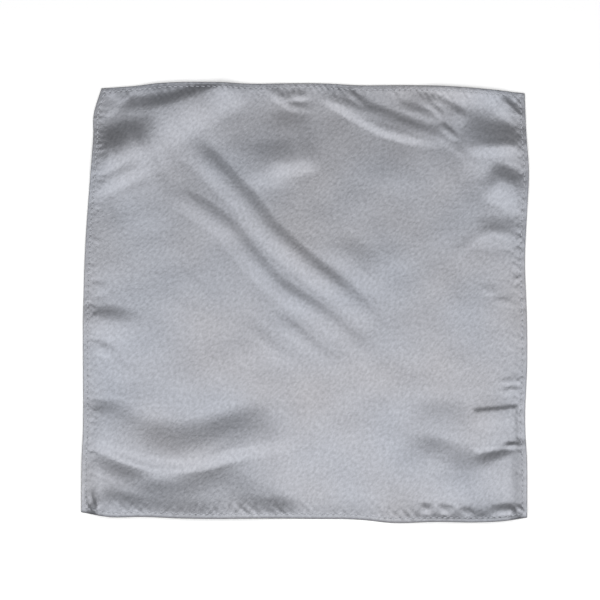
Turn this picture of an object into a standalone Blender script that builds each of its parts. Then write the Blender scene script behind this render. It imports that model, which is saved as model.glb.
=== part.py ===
"""Pocket square: one square of silver satin with a narrow turned hem on its four sides.

It lies open on a table, right side up, as it comes out of a drawer: nearly flat, with a few long
creases across the middle and soft swells beside the hems. Metres, +Z up, +Y towards the side that is
the photo's top. The table is z = 0, and the origin is the middle of the outline's box.
"""

from collections import namedtuple

import bpy
import numpy as np

SIDE = 0.230            # one side of the sewn square
WALL = 0.0010           # thickness of the cloth as it is built here
SEAM_GAP = 0.0003       # space between two layers that lie on each other
HEM_LAYER = 0.0010      # thickness of the part of the hem that is turned under
HEM_WIDTH = 0.0053      # from the folded outer edge to the hem's inner edge
NOSE_RADIUS = 0.0012    # rounding of the folded outer edge, seen from outside
NOSE_CUT = 0.3          # share of that radius at which the rounding has its middle point
INNER_CHAMFER = 0.8     # share of the seam gap that the edge's inner corner is cut by
SLOPE_WIDTH = 0.0065    # the cloth comes down from the hem to the table over this width
CALM_WIDTH = 0.0070     # folds die out over this width before they reach the hem
LINE_COUNT = 42         # cells across the square, between the hems' slopes
LINE_CLEAR = 0.0016     # an even line this near to a needed one is left out
CURVE_SAMPLES = 33      # points that stand for a fold's centre line
SIDE_SAMPLES = 461      # points along a side when the outline's box is measured
SHARP_EDGE = np.radians(40)

HALF = SIDE / 2
BORDER = HEM_WIDTH + SEAM_GAP
RISE = HEM_LAYER + SEAM_GAP
CORE = HALF - BORDER

LABEL_LENGTH = 0.0195   # care label, from the hem's inner edge towards the middle
LABEL_WIDTH = 0.0184    # care label, along the hem
LABEL_CENTRE = -0.0660  # its middle, along the right side
LABEL_MARGIN = 0.0004   # flat cloth beyond the label's edges
LABEL_SLOPE = 0.0028    # the cloth falls off the label over this width
LABEL_CELLS = 4         # cells along the label

# Finishes: colour in linear red, green and blue, and roughness.
SATIN = (0.45, 0.46, 0.50), 0.35
SATIN_REVERSE = (0.36, 0.37, 0.40), 0.55
RIBBON = (0.80, 0.80, 0.80), 0.60

# How far each side stands out from the straight side of the square.
# Rows are (place along the side, distance out).
LEFT_SIDE = (
    (-0.115, 0.0008),
    (-0.088, 0.0014),
    (-0.070, 0.0012),
    (-0.045, 0.0020),
    (0.000, 0.0032),
    (0.035, 0.0029),
    (0.065, 0.0016),
    (0.088, 0.0007),
    (0.100, 0.0009),
    (0.115, -0.0029),
)
RIGHT_SIDE = (
    (-0.115, 0.0001),
    (-0.085, 0.0001),
    (-0.062, -0.0008),
    (-0.030, 0.0003),
    (-0.005, 0.0001),
    (0.024, -0.0008),
    (0.050, 0.0004),
    (0.070, 0.0013),
    (0.090, 0.0001),
    (0.115, -0.0009),
)
TOP_SIDE = (
    (-0.115, -0.0026),
    (-0.100, -0.0014),
    (-0.080, 0.0007),
    (-0.060, 0.0014),
    (-0.035, 0.0011),
    (0.005, 0.0019),
    (0.025, 0.0012),
    (0.055, 0.0017),
    (0.085, 0.0007),
    (0.115, -0.0018),
)
BOTTOM_SIDE = (
    (-0.115, -0.0020),
    (-0.100, 0.0004),
    (-0.084, 0.0000),
    (-0.065, 0.0005),
    (0.000, -0.0004),
    (0.030, -0.0003),
    (0.045, 0.0010),
    (0.068, 0.0002),
    (0.090, 0.0001),
    (0.102, -0.0007),
    (0.115, -0.0028),
)
PULL_FULL = 0.012       # up to here from the edge the cloth follows the side exactly
PULL_NONE = 0.045       # from here inwards the cloth keeps its square grid

# The largest folds. A row's crest runs from left to right through three places, and stands highest
# near its middle. "above" and "below" are the widths over which it falls off on its +Y and -Y sides.
Fold = namedtuple("Fold", "name start middle end height above below")
FOLDS = (
    Fold("diagonal_upper", (-0.070, 0.086), (-0.017, 0.032), (0.046, -0.024), 0.0014, 0.0075, 0.0110),
    Fold("diagonal_lower", (-0.076, 0.058), (-0.022, 0.013), (0.044, -0.041), 0.0011, 0.0070, 0.0100),
    Fold("diagonal_short", (-0.024, -0.006), (-0.002, -0.021), (0.020, -0.040), 0.0007, 0.0065, 0.0085),
    Fold("top_left_swell", (-0.126, 0.066), (-0.088, 0.085), (-0.048, 0.112), 0.0026, 0.0160, 0.0240),
    Fold("top_middle_dent", (-0.034, 0.073), (-0.014, 0.0745), (0.006, 0.077), 0.0013, 0.0160, 0.0120),
    Fold("top_right_lip", (0.000, 0.113), (0.032, 0.098), (0.078, 0.087), 0.0013, 0.0110, 0.0070),
    Fold("top_right_swell", (0.070, 0.087), (0.095, 0.084), (0.126, 0.085), 0.0018, 0.0150, 0.0100),
    Fold("right_upper_swell", (0.088, 0.070), (0.104, 0.065), (0.126, 0.056), 0.0013, 0.0085, 0.0130),
    Fold("right_middle_swell", (0.082, 0.0395), (0.101, 0.0375), (0.126, 0.038), 0.0007, 0.0090, 0.0100),
    Fold("left_swell", (-0.126, -0.013), (-0.105, -0.0135), (-0.084, -0.021), 0.0011, 0.0100, 0.0130),
    Fold("left_wedge", (-0.126, -0.061), (-0.100, -0.063), (-0.078, -0.072), 0.0010, 0.0080, 0.0220),
    Fold("low_left_arc", (-0.122, -0.071), (-0.068, -0.0835), (0.002, -0.071), 0.0022, 0.0200, 0.0095),
    Fold("low_left_crease", (-0.126, -0.091), (-0.100, -0.0956), (-0.072, -0.1105), 0.0018, 0.0110, 0.0080),
    Fold("bottom_hem_swell", (-0.090, -0.105), (-0.048, -0.107), (0.000, -0.112), 0.0027, 0.0220, 0.0080),
    Fold("below_label", (0.050, -0.081), (0.084, -0.089), (0.126, -0.080), 0.0018, 0.0140, 0.0140),
)


def smooth_through(rows, at):
    """Cubic curve through the rows, whose slope at a row follows from its two neighbours."""
    place, value = np.array(rows).T
    slope = np.gradient(value, place)
    left = np.clip(np.searchsorted(place, at) - 1, 0, len(place) - 2)
    span = place[left + 1] - place[left]
    t = (at - place[left]) / span
    from_left = (2 * t**3 - 3 * t**2 + 1) * value[left] + (t**3 - 2 * t**2 + t) * span * slope[left]
    from_right = (3 * t**2 - 2 * t**3) * value[left + 1] + (t**3 - t**2) * span * slope[left + 1]
    return from_left + from_right


def ease(t):
    """Smooth step that is 0 up to t = 0 and 1 from t = 1."""
    t = np.clip(t, 0, 1)
    return t * t * (3 - 2 * t)


def pull(inset):
    """Share of a side's curve that the cloth follows at this distance in from the side."""
    return ease((PULL_NONE - inset) / (PULL_NONE - PULL_FULL))


def spread(u, v):
    """Place on the table of the cloth point (u, v), from the straight square to the real outline."""
    x = u + pull(HALF - u) * smooth_through(RIGHT_SIDE, v) - pull(HALF + u) * smooth_through(LEFT_SIDE, v)
    y = v + pull(HALF - v) * smooth_through(TOP_SIDE, u) - pull(HALF + v) * smooth_through(BOTTOM_SIDE, u)
    return x, y


def box_middle():
    """Middle of the box round the outline, which becomes the origin."""
    along = np.linspace(-HALF, HALF, SIDE_SAMPLES)
    side = np.full_like(along, HALF)
    x = np.concatenate([spread(-side, along)[0], spread(side, along)[0]])
    y = np.concatenate([spread(along, -side)[1], spread(along, side)[1]])
    return (x.min() + x.max()) / 2, (y.min() + y.max()) / 2


def fold_lift(fold, u, v):
    """Height that one fold adds: a rounded crest along its curve, falling off to each side."""
    t, step = np.linspace(0, 1, CURVE_SAMPLES, retstep=True)
    start, middle, end = np.array(fold.start), np.array(fold.middle), np.array(fold.end)
    handle = 2 * middle - (start + end) / 2
    curve = np.outer((1 - t) ** 2, start) + np.outer(2 * t * (1 - t), handle) + np.outer(t**2, end)
    tangent = np.gradient(curve, step, axis=0)
    near = np.argmin((u[..., None] - curve[:, 0]) ** 2 + (v[..., None] - curve[:, 1]) ** 2, axis=-1)
    du, dv = u - curve[near, 0], v - curve[near, 1]
    tu, tv = tangent[near, 0], tangent[near, 1]
    length = np.hypot(tu, tv)
    side = (tu * dv - tv * du) / length
    along = np.clip(t[near] + (tu * du + tv * dv) / length**2, 0, 1)
    across = np.clip(np.abs(side) / np.where(side > 0, fold.above, fold.below), 0, 1)
    return fold.height * np.sin(np.pi * along) * (0.5 + 0.5 * np.cos(np.pi * across))


def underside(u, v):
    """Height of the cloth's lower face over the table."""
    inset = HALF - np.maximum(np.abs(u), np.abs(v))
    over_hem = ease((BORDER + SLOPE_WIDTH - inset) / SLOPE_WIDTH)
    label_edge_u = CORE - LABEL_LENGTH - LABEL_MARGIN - u
    label_edge_v = np.abs(v - LABEL_CENTRE) - LABEL_WIDTH / 2 - LABEL_MARGIN
    over_label = ease(1 - label_edge_u / LABEL_SLOPE) * ease(1 - label_edge_v / LABEL_SLOPE)
    x, y = spread(u, v)
    folds = sum(fold_lift(fold, x, y) for fold in FOLDS)
    calm = ease((inset - BORDER) / CALM_WIDTH)
    return RISE * np.maximum(over_hem, over_label) + folds * calm


def grid_lines(needed):
    """Lines across the cloth: even in the middle, closer beside the hems, and one at each needed place."""
    hem_slope = CORE - SLOPE_WIDTH * np.array([0.0, 0.5])
    even = np.linspace(SLOPE_WIDTH - CORE, CORE - SLOPE_WIDTH, LINE_COUNT + 1)
    clear = np.abs(even[:, None] - np.array(needed)).min(axis=1) > LINE_CLEAR
    return np.sort(np.concatenate([-hem_slope, even[clear], needed, hem_slope]))


def cloth_lines():
    """Grid lines along both ways, with lines where the cloth starts and stops falling off the label."""
    end = CORE - LABEL_LENGTH - LABEL_MARGIN
    low = LABEL_CENTRE - LABEL_WIDTH / 2 - LABEL_MARGIN
    high = LABEL_CENTRE + LABEL_WIDTH / 2 + LABEL_MARGIN
    across = grid_lines((end - LABEL_SLOPE, end))
    return across, grid_lines((low - LABEL_SLOPE, low, high, high + LABEL_SLOPE))


def rim_of(rows, columns):
    """Indices of a grid's outermost points, once round and counterclockwise."""
    index = np.arange(rows * columns).reshape(rows, columns)
    return np.concatenate([index[0, :-1], index[:-1, -1], index[-1, :0:-1], index[:0:-1, 0]])


def grid_faces(rows, columns):
    """Two triangles for each cell, split along the way the long creases run."""
    index = np.arange(rows * columns).reshape(rows, columns)
    a, b = index[:-1, :-1].ravel(), index[:-1, 1:].ravel()
    c, d = index[1:, 1:].ravel(), index[1:, :-1].ravel()
    return np.concatenate([np.stack([a, b, d], 1), np.stack([b, c, d], 1)])


def band_faces(first, second):
    """Two triangles for each step between two closed rings of points."""
    first_next, second_next = np.roll(first, -1), np.roll(second, -1)
    return np.concatenate([np.stack([first, first_next, second], 1),
                           np.stack([first_next, second_next, second], 1)])


def add_solid(name, points, faces, material):
    """Mesh object of its own, placed so that the middle of the outline's box is the origin."""
    middle = box_middle()
    mesh = bpy.data.meshes.new(name)
    mesh.from_pydata((points - np.array([middle[0], middle[1], 0])).tolist(), [], faces.tolist())
    mesh.materials.append(material)
    mesh.shade_smooth()
    mesh.set_sharp_from_angle(angle=SHARP_EDGE)
    solid = bpy.data.objects.new(name, mesh)
    bpy.context.scene.collection.objects.link(solid)
    return solid


def cloth_material(name, colour, roughness):
    """Plain finish with the part's colour and gloss."""
    material = bpy.data.materials.new(name)
    material.use_nodes = True
    shader = material.node_tree.nodes["Principled BSDF"]
    shader.inputs["Base Color"].default_value = (*colour, 1)
    shader.inputs["Roughness"].default_value = roughness
    shader.inputs["Metallic"].default_value = 0
    return material


def build_panel(material):
    """The square itself: a wall over the whole table area whose edge is turned down round the hem."""
    lines_u, lines_v = cloth_lines()
    u, v = np.meshgrid(lines_u, lines_v)
    low = underside(u, v)
    fall_v, fall_u = np.gradient(low, lines_v, lines_u)
    steep = np.sqrt(1 + fall_u**2 + fall_v**2)
    steep[[0, -1], :] = 1
    steep[:, [0, -1]] = 1
    x, y = spread(u, v)
    rows, columns = u.shape
    count = rows * columns
    lower = np.stack([x, y, low], -1).reshape(-1, 3)
    upper = np.stack([x, y, low + WALL * steep], -1).reshape(-1, 3)
    faces = [grid_faces(rows, columns)[:, ::-1], grid_faces(rows, columns) + count]
    points = [lower, upper]

    # Rings of the turned-down edge, from the top of the hem round the outside to the inside.
    # Columns are the distance in from the outer edge and the height.
    top = RISE + WALL
    chamfer = INNER_CHAMFER * SEAM_GAP
    edge_rings = (
        (NOSE_RADIUS, top),
        (NOSE_CUT * NOSE_RADIUS, top - NOSE_CUT * NOSE_RADIUS),
        (0.0, top - NOSE_RADIUS),
        (0.0, 0.0),
        (WALL, 0.0),
        (WALL, HEM_LAYER),
        (WALL + SEAM_GAP - chamfer, HEM_LAYER + chamfer),
        (WALL + SEAM_GAP, RISE),
    )
    rim = rim_of(rows, columns)
    ring = rim + count
    next_index = 2 * count
    for inset, height in edge_rings:
        scale = (HALF - inset) / CORE
        ring_x, ring_y = spread(u.ravel()[rim] * scale, v.ravel()[rim] * scale)
        points.append(np.stack([ring_x, ring_y, np.full(len(rim), height)], 1))
        next_ring = next_index + np.arange(len(rim))
        faces.append(band_faces(next_ring, ring))
        ring = next_ring
        next_index += len(rim)
    faces.append(band_faces(rim, ring))
    return add_solid("panel", np.concatenate(points), np.concatenate(faces), material)


def build_hem(name, turn, material):
    """Turned-under strip of one side, with its outer upper edge rounded and its ends mitred."""
    along = cloth_lines()[turn % 2]
    section = (
        (WALL + SEAM_GAP, 0.0),
        (HEM_WIDTH, 0.0),
        (HEM_WIDTH, HEM_LAYER),
        (WALL + 2 * SEAM_GAP, HEM_LAYER),
        (WALL + SEAM_GAP, HEM_LAYER - SEAM_GAP),
    )
    points = []
    for inset, height in section:
        run = along * (HALF - inset - SEAM_GAP) / CORE
        out = np.full_like(run, HALF - inset)
        u, v = ((run, out), (out, run), (run, -out), (-out, run))[turn]
        x, y = spread(u, v)
        points.append(np.stack([x, y, np.full_like(run, height)], 1))
    points = np.stack(points, 1)
    stations, corners = points.shape[:2]
    index = np.arange(stations * corners).reshape(stations, corners)
    faces = [np.stack([[index[0, 0], index[0, k + 1], index[0, k + 2]] for k in range(corners - 2)]),
             np.stack([[index[-1, 0], index[-1, k + 2], index[-1, k + 1]] for k in range(corners - 2)])]
    for k in range(corners):
        near, far = index[:, k], index[:, (k + 1) % corners]
        faces.append(np.stack([near[:-1], near[1:], far[1:]], 1))
        faces.append(np.stack([near[:-1], far[1:], far[:-1]], 1))
    faces = np.concatenate(faces)
    if turn in (1, 2):
        faces = faces[:, ::-1]
    return add_solid(name, points.reshape(-1, 3), faces, material)


def build_label(material):
    """Bare care label: a small slab under the cloth that reaches to the right hem's inner edge."""
    lines_u = np.array([CORE - LABEL_LENGTH, CORE])
    lines_v = LABEL_CENTRE + LABEL_WIDTH * np.linspace(-0.5, 0.5, LABEL_CELLS + 1)
    u, v = np.meshgrid(lines_u, lines_v)
    x, y = spread(u, v)
    rows, columns = u.shape
    count = rows * columns
    lower = np.stack([x, y, np.zeros_like(x)], -1).reshape(-1, 3)
    upper = lower + np.array([0, 0, HEM_LAYER])
    rim = rim_of(rows, columns)
    face = grid_faces(rows, columns)
    faces = np.concatenate([face[:, ::-1], face + count, band_faces(rim, rim + count)])
    return add_solid("care_label", np.concatenate([lower, upper]), faces, material)


for old in list(bpy.data.objects):
    bpy.data.objects.remove(old, do_unlink=True)

build_panel(cloth_material("silver_satin", *SATIN))
hem_cloth = cloth_material("silver_satin_reverse", *SATIN_REVERSE)
for turn, name in enumerate(("hem_top", "hem_right", "hem_bottom", "hem_left")):
    build_hem(name, turn, hem_cloth)
build_label(cloth_material("white_label_ribbon", *RIBBON))
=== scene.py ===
from collections import namedtuple

import bpy
import numpy as np
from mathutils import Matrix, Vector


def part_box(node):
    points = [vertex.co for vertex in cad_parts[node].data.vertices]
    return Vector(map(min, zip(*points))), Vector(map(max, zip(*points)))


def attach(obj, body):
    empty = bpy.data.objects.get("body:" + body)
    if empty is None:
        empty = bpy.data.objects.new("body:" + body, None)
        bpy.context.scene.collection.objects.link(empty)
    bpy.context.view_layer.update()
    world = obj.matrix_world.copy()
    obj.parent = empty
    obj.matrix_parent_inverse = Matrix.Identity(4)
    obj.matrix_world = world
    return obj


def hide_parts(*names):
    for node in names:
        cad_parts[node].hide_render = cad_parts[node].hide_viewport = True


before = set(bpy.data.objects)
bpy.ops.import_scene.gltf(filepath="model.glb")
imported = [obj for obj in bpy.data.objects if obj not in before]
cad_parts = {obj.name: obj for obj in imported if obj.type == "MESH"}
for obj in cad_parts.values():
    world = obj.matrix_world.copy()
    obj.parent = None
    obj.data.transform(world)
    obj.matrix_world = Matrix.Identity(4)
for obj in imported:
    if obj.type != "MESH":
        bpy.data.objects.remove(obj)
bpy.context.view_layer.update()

# The satin square. One piece of silver polyester satin, right side up and drawn 0.3 mm thick, whose
# four edges are rolled under as a narrow hem. It lies on the table as it comes out of its packing:
# long creases run across the middle, and the cloth swells where the hems hold it.

SIDE = 0.230
HALF = SIDE / 2
CLOTH = 0.0003

# How far each side stands out from the straight side, as (place along the side, distance out).
LEFT_SIDE = (
    (-0.115, 0.0008),
    (-0.088, 0.0014),
    (-0.070, 0.0012),
    (-0.045, 0.0020),
    (0.000, 0.0032),
    (0.035, 0.0029),
    (0.065, 0.0016),
    (0.088, 0.0007),
    (0.100, 0.0009),
    (0.115, -0.0029),
)
RIGHT_SIDE = (
    (-0.115, 0.0001),
    (-0.085, 0.0001),
    (-0.062, -0.0008),
    (-0.030, 0.0003),
    (-0.005, 0.0001),
    (0.024, -0.0008),
    (0.050, 0.0004),
    (0.070, 0.0013),
    (0.090, 0.0001),
    (0.115, -0.0009),
)
TOP_SIDE = (
    (-0.115, -0.0026),
    (-0.100, -0.0014),
    (-0.080, 0.0007),
    (-0.060, 0.0014),
    (-0.035, 0.0011),
    (0.005, 0.0019),
    (0.025, 0.0012),
    (0.055, 0.0017),
    (0.085, 0.0007),
    (0.115, -0.0018),
)
BOTTOM_SIDE = (
    (-0.115, -0.0020),
    (-0.100, 0.0004),
    (-0.084, 0.0000),
    (-0.065, 0.0005),
    (0.000, -0.0004),
    (0.030, -0.0003),
    (0.045, 0.0010),
    (0.068, 0.0002),
    (0.090, 0.0001),
    (0.102, -0.0007),
    (0.115, -0.0028),
)

# The cloth follows a side's curve whole up to the first distance in from it, and not past the second.
PULL_FULL = 0.012
PULL_NONE = 0.045


def smooth_through(rows, at):
    """Cubic curve through (place, value) rows, whose slope at a row follows from its two neighbours."""
    place, value = np.array(rows).T
    slope = np.gradient(value, place)
    left = np.clip(np.searchsorted(place, at) - 1, 0, len(place) - 2)
    span = place[left + 1] - place[left]
    t = (at - place[left]) / span
    from_left = (2 * t**3 - 3 * t**2 + 1) * value[left] + (t**3 - 2 * t**2 + t) * span * slope[left]
    from_right = (3 * t**2 - 2 * t**3) * value[left + 1] + (t**3 - t**2) * span * slope[left + 1]
    return from_left + from_right


def ease(t):
    """Smooth step: 0 up to t = 0, 1 from t = 1, and 3t^2 - 2t^3 between."""
    t = np.clip(t, 0, 1)
    return t * t * (3 - 2 * t)


def inset_of(u, v):
    """Distance in from the nearest edge of the square."""
    return HALF - np.maximum(np.abs(u), np.abs(v))


def pull(inset):
    """Share of a side's curve that the cloth follows at this distance in from the side."""
    return ease((PULL_NONE - inset) / (PULL_NONE - PULL_FULL))


def spread(u, v):
    """Place on the table of the cloth point (u, v): the straight square pulled out to its real sides."""
    x = u + pull(HALF - u) * smooth_through(RIGHT_SIDE, v) - pull(HALF + u) * smooth_through(LEFT_SIDE, v)
    y = v + pull(HALF - v) * smooth_through(TOP_SIDE, u) - pull(HALF + v) * smooth_through(BOTTOM_SIDE, u)
    return x, y


# The frame's origin is the middle of the box round the outline, so the square is set against that box.
SIDE_SAMPLES = 461
side_places = np.linspace(-HALF, HALF, SIDE_SAMPLES)
outer = np.full(SIDE_SAMPLES, -HALF)
panel_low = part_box("panel")[0]
OFFSET = np.array([panel_low.x - spread(outer, side_places)[0].min(),
                   panel_low.y - spread(side_places, outer)[1].min(), 0.0])

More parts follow.
